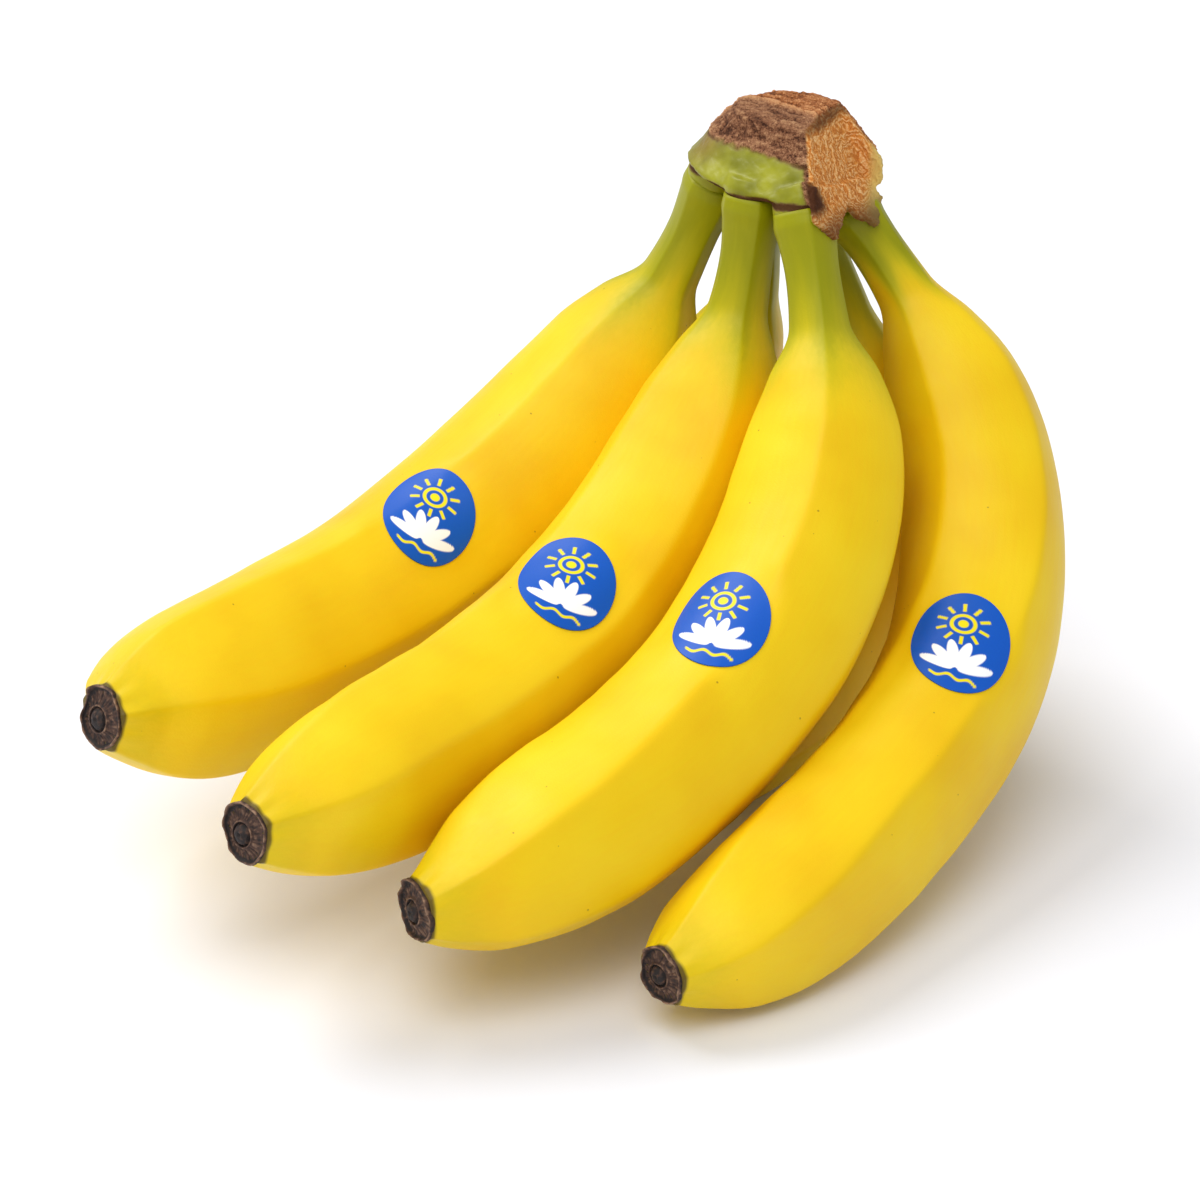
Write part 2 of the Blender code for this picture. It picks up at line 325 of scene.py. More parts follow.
@dataclass
class Spine:
    """Middle line of one finger, with the peel's surface round it."""

    finger: Finger
    run_on: float = 6.0
    tip_sharpness: float = 0.35
    label_press: float = 0.85

    def __post_init__(self) -> None:
        """Bend the line in one plane, from the neck's lean to the blossom end's direction."""
        finger = self.finger
        self.girth_share = finger.girth / FULL_GIRTH
        start = unit((finger.lean[0], finger.lean[1], -1.0))
        heading = radians(finger.heading)
        rise = radians(finger.rise)
        end = np.array((-cos(heading) * cos(rise), -sin(heading) * cos(rise), sin(rise)))
        inward = unit(end - start * (start @ end))
        share = np.linspace(0, 1, FINE_RUN)
        weight = smooth_curve(BEND_STATIONS, finger.bend + finger.bend[-1:], share)
        angle = np.concatenate(([0.0], np.cumsum((weight[1:] + weight[:-1]) / 2)))
        angle *= np.arccos(start @ end) / angle[-1]
        along = np.outer(np.cos(angle), start) + np.outer(np.sin(angle), inward)
        steps = (along[1:] + along[:-1]) / 2 * finger.length / (FINE_RUN - 1)
        place = np.concatenate((np.zeros((1, 3)), np.cumsum(steps, axis=0))) + np.array(finger.root) - BUNCH_MIDDLE
        place[:, 2] -= finger.droop * ease(finger.length - 32, finger.length + 4, share * finger.length)
        before = finger.reach + self.run_on
        after = self.run_on
        self.distance = np.concatenate(([-before], share * finger.length, [finger.length + after]))
        self.place = np.vstack((place[:1] - start * before, place, place[-1:] + along[-1:] * after))
        self.along = np.vstack((along[:1], along, along[-1:]))
        self.side = unit(np.cross(start, inward))

    def frames(self, distance: Array) -> tuple[Array, Array, Array]:
        """Find the middle line at some distances.

        Args:
            distance: Distances from the root in mm.

        Returns:
            Places, directions and inward normals, each with one vector more than the distances' shape.
        """
        place, along = [np.stack([np.interp(distance, self.distance, column) for column in table.T], axis=-1)
                        for table in (self.place, self.along)]
        along = unit(along)
        return place, along, np.cross(self.side, along)

    def radius(self, distance: Array) -> Array:
        """Mean radius in mm at distances in mm from the root."""
        stations = NECK_STATIONS + tuple(self.finger.length - station for station in TIP_STATIONS)
        scales = [1.0 if station <= SLIM_NECK else self.girth_share for station in stations]
        radii = [radius * scale for radius, scale in zip(NECK_RADII + TIP_RADII, scales)]
        return smooth_curve(stations, radii, distance)

    def ridge(self, distance: Array) -> Array:
        """Angle in radians of the first ridge, which wanders a little along the finger."""
        stations, turns = zip(*self.finger.drift)
        return np.radians(self.finger.ridge + smooth_curve(stations, turns, distance))

    def surface(self, distance: Array, turn: Array, lift: Array | float = 0.0) -> Array:
        """Find points on the peel.

        Args:
            distance: Distances from the root in mm.
            turn: Angles in radians from the inside of the bend.
            lift: Height above the plain peel in mm.

        Returns:
            Points in mm, never below the ground.
        """
        distance, turn = np.broadcast_arrays(np.asarray(distance, float), np.asarray(turn, float))
        place, along, inward = self.frames(distance)
        tip = ease(self.finger.length - 60, self.finger.length - 12, distance)
        sharpness = RIDGE_STRENGTH * (1 + self.tip_sharpness * tip)
        sharpness = sharpness * (1 - self.label_press * self.under_label(distance, turn))
        reach = self.radius(distance) * section(turn - self.ridge(distance), sharpness) + lift
        spread = reach[..., None] * spokes(turn, inward, self.side)
        points = place + spread + self.slant(distance, spread, along)
        points[..., 2] = np.maximum(points[..., 2], 0.0)
        return points

    def under_label(self, distance: Array, turn: Array) -> Array | float:
        """Find where the label presses the ridges down, from 0 well outside it to 1 under it."""
        if self.finger.label is None:
            return 0.0
        middle, angle, _ = self.finger.label
        round_way = (turn - radians(angle) + pi) % tau - pi
        beside = round_way * float(self.radius(np.array(middle))) / LABEL_HALVES[0]
        return 1 - ease(0.85, 1.45, np.hypot((distance - middle) / LABEL_HALVES[1], beside))

    def slant(self, distance: Array, spread: Array, along: Array) -> Array:
        """Tilt the blossom end a little to the left.

        Args:
            distance: Distances from the root in mm.
            spread: Vectors from the middle line to the points in mm.
            along: Directions of the middle line.

        Returns:
            How far each point moves.
        """
        left = np.array((-1.0, 0.0, 0.0))
        aside = unit(left - along * (along @ left)[..., None])
        amount = tan(radians(self.finger.tip_tilt)) * ease(self.finger.length - 9, self.finger.length, distance)
        return -along * (amount * (spread * aside).sum(axis=-1))[..., None]


def circle(count: int) -> Array:
    """Angles in radians evenly round a circle."""
    return np.linspace(0, tau, count, endpoint=False)


def spokes(turn: Array, inward: Array, side: Array) -> Array:
    """Directions at angles from the inward one towards the side."""
    return np.cos(turn)[..., None] * inward + np.sin(turn)[..., None] * side


def tube_faces(rows: int, columns: int, ends: bool = True) -> list[tuple[int, ...]]:
    """List the faces between rings of points.

    Args:
        rows: Number of rings.
        columns: Number of points in a ring.
        ends: Whether the first and the last ring are each closed by one face.

    Returns:
        Faces as point numbers.
    """
    faces = []
    for low in range(0, (rows - 1) * columns, columns):
        for column in range(columns):
            after = (column + 1) % columns
            faces.append((low + column, low + after, low + columns + after, low + columns + column))
    if ends:
        faces.append(tuple(range(columns))[::-1])
        faces.append(tuple((rows - 1) * columns + k for k in range(columns)))
    return faces


def add_object(name: str, data: Any) -> Object:
    """Put a mesh, a lamp or a camera in the scene."""
    made = bpy.data.objects.new(name, data)
    bpy.context.scene.collection.objects.link(made)
    return made


def add_mesh(name: str, points: Array, faces: Sequence[tuple[int, ...]]) -> Object:
    """Put a mesh in the scene, from its points in mm and its faces as point numbers."""
    mesh = bpy.data.meshes.new(name)
    mesh.from_pydata((np.asarray(points) * MM).tolist(), [], faces)
    return add_object(name, mesh)


def square_corners(half: float) -> Array:
    """Corners of a flat square about the origin."""
    return np.array(((-half, -half, 0.0), (half, -half, 0.0), (half, half, 0.0), (-half, half, 0.0)))


def dress(piece: Object, finish: Material, nodes: Sequence[str], marks: Mapping[str, Array]) -> None:
    """Finish a piece and make it ride on the bunch in place of its nodes.

    Args:
        piece: The piece, in its place.
        finish: Its material.
        nodes: Nodes that the piece stands for.
        marks: Named values at the points, single or in threes, that the material reads.
    """
    mesh = piece.data
    mesh.materials.clear()
    mesh.materials.append(finish)
    mesh.shade_smooth()
    for mark, values in marks.items():
        vector = np.ndim(values) == 2
        attribute = mesh.attributes.new(mark, "FLOAT_VECTOR" if vector else "FLOAT", "POINT")
        attribute.data.foreach_set("vector" if vector else "value", np.asarray(values, np.float32).ravel())
    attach(piece, BODY)
    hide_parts(*nodes)
    LOG.info("%s: %d faces in place of %s", piece.name, len(mesh.polygons), ", ".join(nodes))


@dataclass(frozen=True)
class RipePeel:
    """Skin of a ripe banana: pigmented rind under a thin natural wax, which gives a soft satin light."""

    ripe: str = "#F3CB0A"
    sunny: str = "#F6D418"
    deep: str = "#EDBE02"
    neck_green: str = "#959500"
    light_green: str = "#C6B80E"
    speck: str = "#7A5518"
    scar_edge: str = "#4A3A16"
    fibre_width: float = 1.1
    fibre_stretch: float = 0.12
    fibre_tint: float = 0.10
    ridge_tint: float = 0.22
    fray: float = 0.16
    pore_size: float = 0.5
    mottle_size: float = 30.0
    speck_spacing: float = 3.4
    speck_radius: float = 0.34

    def material(self) -> Material:
        """Build the finish: yellow rind that turns green at the neck, with fine fibres and a few brown specks."""
        peel = MaterialTree("ripe_waxed_banana_peel")
        unrolled = peel.add("Attribute", attribute_name="unrolled").outputs["Vector"]
        ridge, green, scar = [peel.add("Attribute", attribute_name=name).outputs["Fac"]
                              for name in ("ridge", "green", "scar")]
        # Fibres run along the finger, so the pattern is drawn out eight times that way
        stretched = peel.add("Mapping", Vector=unrolled, Scale=(self.fibre_stretch, 1, 1))
        threads = peel.add("TexNoise", Vector=stretched, Scale=1 / self.fibre_width, Detail=3.0)
        mottle = peel.add("TexNoise", Vector=unrolled, Scale=1 / self.mottle_size, Detail=2.0)
        yellow = peel.add("ValToRGB", mottle, stops=((0.28, self.deep), (0.52, self.ripe), (0.78, self.sunny)))
        colour = peel.add("Mix", data_type="RGBA", blend_type="SOFT_LIGHT", Factor_Float=self.fibre_tint,
                          A_Color=yellow, B_Color=threads.outputs["Color"])
        ridged = peel.add("Math", ridge, self.ridge_tint, operation="MULTIPLY")
        # The border of green and yellow frays along the fibres
        frayed = peel.add("Math", threads, self.fray, -self.fray / 2, operation="MULTIPLY_ADD")
        greened = peel.add("Math", green, frayed)
        tone = peel.add("ValToRGB", greened,
                        stops=((0.0, self.light_green), (0.55, self.light_green), (1.0, self.neck_green)))
        neck = peel.add("MapRange", greened, 0.04, 0.78, 0.0, 1.0, interpolation_type="SMOOTHSTEP")
        # Only some cells hold a speck, each with a size of its own
        cells = peel.add("TexVoronoi", Vector=unrolled, Scale=1 / self.speck_spacing, Randomness=1.0)
        chance = peel.add("SeparateColor", cells.outputs["Color"])
        size = peel.add("MapRange", chance, 0.72, 1.0, 0.0, self.speck_radius / self.speck_spacing)
        inside = peel.add("Math", size, cells, operation="SUBTRACT")
        speck = peel.add("MapRange", inside, 0.0, 0.04, 0.0, 0.6)
        for cover, layer in ((ridged, self.deep), (neck, tone), (speck, self.speck), (scar, self.scar_edge)):
            colour = peel.add("Mix", data_type="RGBA", Factor_Float=cover, A_Color=colour, B_Color=layer)
        # Pores of the rind, drawn at half a millimetre so that they show
        pores = peel.add("TexNoise", Vector=unrolled, Scale=1 / self.pore_size, Detail=2.0)
        bump = peel.add("Bump", Height=peel.add("Math", threads, pores), Strength=0.10, Distance=0.4 * MM)
        peel.fill(peel.shader, {"Base Color": colour, "Roughness": peel.add("MapRange", threads, 0.0, 1.0, 0.40, 0.54),
                                "IOR": 1.40, "Specular IOR Level": 0.35, "Subsurface Weight": 0.06,
                                "Subsurface Radius": (1.0, 0.75, 0.25), "Subsurface Scale": 1.2 * MM, "Normal": bump})
        return peel.material


@dataclass(frozen=True)
class DriedBlossom:
    """Withered flower base: shrunken dark plant tissue, dull, with paler crests that are painted highlight."""

    # Painted shade in the folds, the tissue's own brown, and painted highlight on the crests
    hollow: str = "#1A0E0A"
    body: str = "#4E3325"
    crest: str = "#97765C"
    wrinkle: float = 0.8

    def material(self) -> Material:
        """Build the finish: almost black painted shade in the folds, grey-brown painted highlight on the crests."""
        end = MaterialTree("dried_blossom_end")
        place = end.add("TexCoord").outputs["Object"]
        fine = end.add("TexNoise", Vector=place, Scale=1 / (self.wrinkle * MM), Detail=4.0)
        # Painted light and shade: the mark is high on crests as highlight and low in grooves as shade, and the fine
        # wrinkles are painted lighter where they rise
        crest = end.add("Attribute", attribute_name="crest").outputs["Fac"]
        height = end.add("Math", crest, end.add("Math", fine, 0.5, -0.25, operation="MULTIPLY_ADD"))
        tone = end.add("ValToRGB", height, stops=((0.12, self.hollow), (0.5, self.body), (0.95, self.crest)))
        bump = end.add("Bump", Height=fine, Strength=0.6, Distance=0.3 * MM)
        end.fill(end.shader, {"Base Color": tone, "Roughness": 0.72, "Normal": bump})
        return end.material


@dataclass(frozen=True)
class CutCrown:
    """Crown of a banana hand: knife-cut plant fibre that dried brown and tan, beside living green rind."""

    bark_dark: str = "#4A2814"
    bark: str = "#96562C"
    bark_light: str = "#D39A68"
    grey_dark: str = "#3C2114"
    grey: str = "#81543A"
    grey_light: str = "#BC9068"
    flesh: str = "#DC9040"
    flesh_light: str = "#F6CE92"
    flesh_dark: str = "#B4662C"
    rind_edge: str = "#DDBE6C"
    skin: str = "#747500"
    skin_light: str = "#9A9A12"
    skin_stain: str = "#7E5A26"
    seam: str = "#52341A"
    neck: str = "#959500"
    fibre: float = 0.55
    blotch: float = 9.0
    ring_gap: float = 1.3

    def material(self) -> Material:
        """Build the finish: each region of the crown has its own colours and fibre pattern."""
        crown = MaterialTree("dried_cut_banana_crown")
        marks = {name: crown.add("Attribute", attribute_name=name).outputs["Fac"] for name in
                 ("cut", "skin", "seam", "stub", "swirl", "rim", "scorch", "grey", "stain", "relief")}
        place = crown.add("TexCoord").outputs["Object"]
        fine = crown.add("TexNoise", Vector=place, Scale=1 / (self.fibre * MM), Detail=4.0, Distortion=1.6)
        broad = crown.add("TexNoise", Vector=place, Scale=1 / (self.blotch * MM), Detail=2.0)
        # Partly the fibres' own grain and partly painted highlight: the raised threads, crease and lip are painted
        # lighter
        fibre_grain_and_highlight = crown.add("Math", marks["relief"], 0.45, fine, operation="MULTIPLY_ADD")
        # The knife laid the vascular fibres open in curls round the middle of the cut
        swirl = crown.add("Math", marks["swirl"], tau / self.ring_gap, operation="MULTIPLY")
        rings = crown.add("Math", crown.add("Math", swirl, operation="SINE"), 0.13, fine, operation="MULTIPLY_ADD")
        top, grey, flesh, rind = [crown.add("ValToRGB", value, stops=stops) for value, stops in (
            (fibre_grain_and_highlight, ((0.32, self.bark_dark), (0.50, self.bark), (0.74, self.bark_light))),
            (fibre_grain_and_highlight, ((0.32, self.grey_dark), (0.52, self.grey), (0.80, self.grey_light))),
            (rings, ((0.28, self.flesh_dark), (0.50, self.flesh), (0.74, self.flesh_light))),
            (broad, ((0.36, self.skin), (0.64, self.skin_light))))]
        rind = crown.add("Mix", data_type="RGBA", Factor_Float=marks["stain"], A_Color=rind, B_Color=self.skin_stain)
        for cover, layer in (("rim", self.rind_edge), ("scorch", self.bark_dark)):
            flesh = crown.add("Mix", data_type="RGBA", Factor_Float=marks[cover], A_Color=flesh, B_Color=layer)
        colour = top
        for cover, layer in (("grey", grey), ("stub", self.neck), ("skin", rind), ("seam", self.seam), ("cut", flesh)):
            colour = crown.add("Mix", data_type="RGBA", Factor_Float=marks[cover], A_Color=colour, B_Color=layer)
        waxy = crown.add("Math", marks["skin"], marks["stub"], operation="MAXIMUM")
        strength, roughness, gloss = [crown.add("MapRange", waxy, 0.0, 1.0, dry, wet)
                                      for dry, wet in ((0.7, 0.15), (0.82, 0.42), (0.15, 0.40))]
        bump = crown.add("Bump", Height=rings, Strength=strength, Distance=0.35 * MM)
        crown.fill(crown.shader, {"Base Color": colour, "Roughness": roughness, "Specular IOR Level": gloss,
                                  "Normal": bump})
        return crown.material


@dataclass(frozen=True)
class PrintedLabel:
    """Thin coated paper with offset print, which gives even colours under a light gloss."""

    ground: str = "#0056C0"
    yellow: str = "#F6E400"
    white: str = "#FFFFFF"
    fibre: float = 0.5
    fibre_tint: float = 0.10

    def material(self) -> Material:
        """Build the finish: blue ground with yellow and white ink."""
        label = MaterialTree("printed_paper_label")
        place = label.add("TexCoord").outputs["Object"]
        fibre = label.add("TexNoise", Vector=place, Scale=1 / (self.fibre * MM), Detail=3.0)
        colour = label.add("Mix", data_type="RGBA", blend_type="SOFT_LIGHT", Factor_Float=self.fibre_tint,
                           A_Color=self.ground, B_Color=fibre.outputs["Color"])
        for ink, tone in ((Ink.YELLOW, self.yellow), (Ink.WHITE, self.white)):
            cover = label.add("Attribute", attribute_name=ink.value).outputs["Fac"]
            colour = label.add("Mix", data_type="RGBA", Factor_Float=cover, A_Color=colour, B_Color=tone)
        bump = label.add("Bump", Height=fibre, Strength=0.08, Distance=0.1 * MM)
        label.fill(label.shader, {"Base Color": colour, "Roughness": 0.42, "Specular IOR Level": 0.30, "Normal": bump})
        return label.material


@dataclass(frozen=True)
class PaleBoard:
    """Matte board under the bunch, in a cool white paint."""

    paint: str = "#F0F2FA"
    tooth: float = 2.5

    def material(self) -> Material:
        """Build the finish: matte white with a barely visible tooth."""
        board = MaterialTree("matte_white_board")
        place = board.add("TexCoord").outputs["Object"]
        tooth = board.add("TexNoise", Vector=place, Scale=1 / (self.tooth * MM), Detail=2.0)
        bump = board.add("Bump", Height=tooth, Strength=0.02, Distance=0.1 * MM)
        board.fill(board.shader, {"Base Color": self.paint, "Roughness": 0.9, "Normal": bump})
        return board.material


@dataclass
class Banana:
    """One finger of the bunch: its peel, its dried blossom end and, in the front row, its label."""

    finger: Finger
    peel_finish: Material
    blossom_finish: Material
    label_finish: Material
    rings: int = 210
    tip_rings: int = 36
    columns: int = 150
    tip_run: float = 12.0
    overlap: float = 0.9
    swelling: float = 0.22
    pucker_count: int = 9
    pucker_depth: float = 0.35
    collar_height: float = 0.35
    tip_green: float = 0.36
    blossom_rings: int = 90
    blossom_columns: int = 128
    # Radius and height above the peel's end, from the outer rim over the hollow to the domed nub in the middle
    blossom_profile: tuple[Pair, ...] = (
        (5.9, -0.6), (6.25, 0.0), (6.4, 0.5), (6.35, 1.0), (6.15, 1.25), (5.9, 1.05), (5.6, 0.5), (5.1, 0.35),
        (4.4, 0.4), (3.7, 0.45), (3.2, 0.55), (2.9, 0.95), (2.7, 0.95), (2.5, 0.35), (2.3, 0.45), (1.9, 1.15),
        (1.3, 1.6), (0.7, 1.75), (0.35, 1.5), (0.05, 1.3))

    def __post_init__(self) -> None:
        """Bend the finger's middle line."""
        self.spine = Spine(self.finger)
        self.ripples = Ripples(self.finger.number, 46.0, 3)
        self.fine_ripples = Ripples(20 + self.finger.number, 17.0, 7)

    def relief(self, along: Array, turn: Array) -> Array:
        """Height of the peel's own unevenness.

        Args:
            along: Distance from the root in mm.
            turn: Angle from the inside of the bend in radians.

        Returns:
            Height in mm above the plain five-sided finger.
        """
        length = self.finger.length
        body = ease(12, 50, along) * (1 - ease(length - 16, length, along))
        height = body * self.swelling * self.ripples.height(along, turn)
        height = height + body * 0.3 * self.swelling * self.fine_ripples.height(along, turn)
        top = -self.finger.reach
        height = height + self.collar_height * bell(along - top, 2.2, 1.6)
        pucker = 0.5 + 0.5 * np.cos(self.pucker_count * turn + 2 * np.sin(turn))
        return height - ease(length - 7, length - 0.5, along) * self.pucker_depth * pucker

    def build_peel(self) -> None:
        """Build the peel from the crown to the blossom end."""
        finger = self.finger
        body = np.linspace(-finger.reach - self.overlap, finger.length - self.tip_run, self.rings)
        tip = np.linspace(finger.length - self.tip_run, finger.length + 0.25, self.tip_rings)[1:]
        along = np.concatenate((body, tip))[:, None]
        turn = circle(self.columns)[None, :]
        points = self.spine.surface(along, turn, self.relief(along, turn))
        full_along, full_turn = np.broadcast_arrays(along, turn)
        radius = np.broadcast_to(self.spine.radius(along), full_along.shape)
        unrolled = np.stack((full_along + 300.0 * finger.number, radius * np.cos(full_turn),
                             radius * np.sin(full_turn)), axis=-1)
        rows = len(along)
        faces = tube_faces(rows, self.columns, ends=False)
        cap_points = []
        for row, order in ((0, -1), (rows - 1, 1)):
            centre = rows * self.columns + len(cap_points)
            cap_points.append(points[row].mean(axis=0))
            for column in range(self.columns):
                pair = (row * self.columns + column, row * self.columns + (column + 1) % self.columns)
                faces.append((*pair[::order], centre))
        flat = np.vstack((points.reshape(-1, 3), cap_points))
        marks = {name: np.append(values.ravel(), (values.ravel()[0], values.ravel()[-1]))
                 for name, values in self.peel_marks(full_along, full_turn).items()}
        marks["unrolled"] = np.vstack((unrolled.reshape(-1, 3), unrolled[0, 0], unrolled[-1, 0]))
        peel = add_mesh(f"ripe_peel_{finger.number}", flat, faces)
        dress(peel, self.peel_finish, [f"banana_{finger.number}"], marks)

    def peel_marks(self, along: Array, turn: Array) -> dict[str, Array]:
        """Work out where the peel is green, ridged or scarred.

        Args:
            along: Distance from the root in mm.
            turn: Angle from the inside of the bend in radians.

        Returns:
            Values of 0 to 1 by name.
        """
        length = self.finger.length
        side = tau / SIDES
        offset = (turn - self.spine.ridge(along) + side / 2) % side - side / 2
        ridge = bell(offset, 0, 0.16) * ease(20, 60, along)
        wander = 5 * self.ripples.height(0.3 * along, turn) + 8 * bell(offset, 0, 0.30)
        neck = 1 - ease(2, self.finger.green_run, along - wander)
        tip = self.tip_green * ease(length - 17, length - 1, along + 0.3 * wander)
        scar = ease(length - 0.8, length - 0.1, along + 0.25 * self.fine_ripples.height(along, turn))
        return {"green": np.clip(neck + tip, 0, 1), "ridge": ridge, "scar": 0.9 * scar}

    def build_blossom(self) -> None:
        """Build the dried blossom end: a crimped rim with one raised corner, a wrinkled hollow and a pitted nub."""
        finger = self.finger
        share = finger.girth / FULL_GIRTH
        profile = np.array(self.blossom_profile)
        fine = np.linspace(0, 1, self.blossom_rings)
        knots = np.linspace(0, 1, len(profile))
        radius = np.interp(fine, knots, profile[:, 0])[:, None]
        height = smooth_curve(knots, profile[:, 1], fine)[:, None]
        turn = circle(self.blossom_columns)[None, :]
        place, along, inward = self.spine.frames(np.array(finger.length))
        side = self.spine.side
        left = unit(np.array((-1.0, 0.0, 0.0)) + along * along[0])
        up = unit(np.array((0.0, 0.0, 1.0)) - along * along[2])
        corner = up + 0.7 * left
        phase = np.random.default_rng(40 + finger.number).uniform(0, tau, 8)
        shape = waves(turn, *zip((2, 3, 5, 9), (0.045, 0.035, 0.022, 0.012), phase[:4]))
        crimp = waves(turn, *zip((3, 5, 8, 13), (0.5, 0.5, 0.3, 0.2), phase[4:]))
        wrinkles = 0.5 * np.cos(23 * turn + phase[6] + 2 * np.sin(3 * turn)) + 0.5 * np.cos(37 * turn + phase[7])
        ear_turn = np.arctan2(corner @ side, corner @ inward)
        ear = bell((turn - ear_turn + pi) % tau, pi, 0.33)
        rim = bell(radius, 6.15, 0.32)
        floor = ease(3.0, 3.5, radius) * (1 - ease(5.3, 5.8, radius))
        collar = bell(radius, 2.8, 0.25)
        height = height + rim * (0.35 * crimp + 0.9 * ear) + 0.16 * floor * wrinkles
        spread = radius * share * (1 + ease(3.0, 6.0, radius) * shape + 0.08 * ear * rim)
        spoke = spread[..., None] * spokes(turn, inward, side)
        nub = 0.8 * (1 - ease(2.7, 5.2, radius))[..., None] * (left - 0.5 * up)
        points = place + height[..., None] * along + spoke + nub
        points = (points + self.spine.slant(np.array(finger.length), spoke, along)).reshape(-1, 3)
        rough = grain(points, 1.1, finger.number * 7.0, 3)
        outwards = unit(points - place + 1.5 * along)
        points = points + 0.11 * rough[:, None] * outwards
        # Painted light and shade: the rim, the collar and the wrinkle tops are painted lighter as highlight, the
        # grooves and the pit darker as shade; the nub is darker and the grain adds random tone
        crest = (0.28 + 0.45 * rim * ease(0.5, 1.2, height) + 0.35 * collar + floor * (0.12 + 0.14 * wrinkles)
                 - 0.30 * bell(radius, 5.6, 0.3) - 0.30 * bell(radius, 2.45, 0.25)
                 - 0.12 * (1 - ease(1.8, 2.4, radius)) - 0.25 * bell(radius, 0, 0.5)).ravel() + 0.40 * rough
        blossom = add_mesh(f"dried_blossom_{finger.number}", points, tube_faces(*spread.shape))
        dress(blossom, self.blossom_finish, [f"banana_{finger.number}_tip"],
              {"crest": np.clip(crest, 0, 1)})

    def build(self) -> None:
        """Build every piece of the finger."""
        self.build_peel()
        self.build_blossom()
        if self.finger.label is not None:
            OvalLabel(self).build(self.label_finish)


@dataclass
class OvalLabel:
    """Oval paper label that follows the peel, printed with a sun over leaves."""

    banana: Banana
    thickness: float = 0.22
    gap: float = 0.12
    rings: int = 90
    under_rings: int = 16
    columns: int = 180
    print_edge: float = 0.14
    sun_height: float = 5.2
    leaf_root: float = -9.0
    leaf_middle: float = 4.9
    leaf_half: float = 4.2
    water_height: float = -11.2

    def lay(self, across: Array, up: Array, lift: Array | float) -> Array:
        """Lay points of the flat label on the peel.

        Args:
            across: Distance to the right of the label's middle in mm.
            up: Distance above its middle in mm.
            lift: Height above the peel in mm.

        Returns:
            Points in mm.
        """
        distance, turn, tilt = self.banana.finger.label
        tilt = radians(tilt)
        forward = -up * cos(tilt) - across * sin(tilt)
        sideways = across * cos(tilt) - up * sin(tilt)
        along = distance + forward
        angle = radians(turn) + sideways / float(self.banana.spine.radius(np.array(distance)))
        return self.banana.spine.surface(along, angle, self.banana.relief(along, angle) + lift)

    def print_marks(self, across: Array, up: Array) -> dict[str, Array]:
        """Draw the print: a yellow sun with rays above, and a fan of white leaves below.

        Args:
            across: Distance to the right of the label's middle in mm.
            up: Distance above its middle in mm.

        Returns:
            Ink cover of 0 to 1 by ink.
        """
        def ink(distance: Array) -> Array:
            """Cover inside a shape whose edge is at distance 0."""
            return ease(-self.print_edge, self.print_edge, distance)

        sun_x, sun_y = across, up - self.sun_height
        reach = np.hypot(sun_x, sun_y)
        angle = np.arctan2(sun_x, sun_y)
        disc = ink(3.1 - reach) - ink(2.2 - reach)
        ray_width = np.abs((angle + pi / 10) % (pi / 5) - pi / 10) * reach
        rays = ink(0.42 - ray_width) * ink(reach - 3.9) * ink(6.3 - reach)
        heart = ink(1.2 - reach)
        white = np.zeros_like(across)
        for lean in range(-70, 71, 28):
            swing = radians(lean)
            rise = up - self.leaf_root
            along = rise * cos(swing) + across * sin(swing) - self.leaf_middle
            beside = across * cos(swing) - rise * sin(swing)
            leaf = 1.35 * np.sqrt(np.clip(1 - (along / self.leaf_half) ** 2, 0, 1)) - np.abs(beside)
            white = np.maximum(white, ink(leaf) * (np.abs(along) < self.leaf_half))
        wave = up - self.water_height - 0.5 * np.sin(across * 1.3)
        water = ink(0.42 - np.abs(wave)) * ink(5.6 - np.abs(across))
        yellow = np.maximum.reduce((disc, rays, heart, water))
        return {Ink.WHITE.value: white, Ink.YELLOW.value: yellow}

    def build(self, finish: Material) -> None:
        """Build the label in its finish."""
        shares = (np.linspace(0.004, 1, self.rings), (1.004,), np.linspace(0.96, 0.004, self.under_rings))
        share = np.concatenate(shares)[:, None]
        lift = np.where(np.arange(len(share)) < self.rings, self.gap + self.thickness, self.gap)[:, None]
        turn = circle(self.columns)[None, :]
        across = share * LABEL_HALVES[0] * np.cos(turn)
        up = share * LABEL_HALVES[1] * np.sin(turn)
        points = self.lay(across, up, lift).reshape(-1, 3)
        number = self.banana.finger.number
        label = add_mesh(f"oval_label_{number}", points, tube_faces(len(share), self.columns))
        dress(label, finish, [f"label_{number}"],
              {name: values.ravel() for name, values in self.print_marks(across, up).items()})


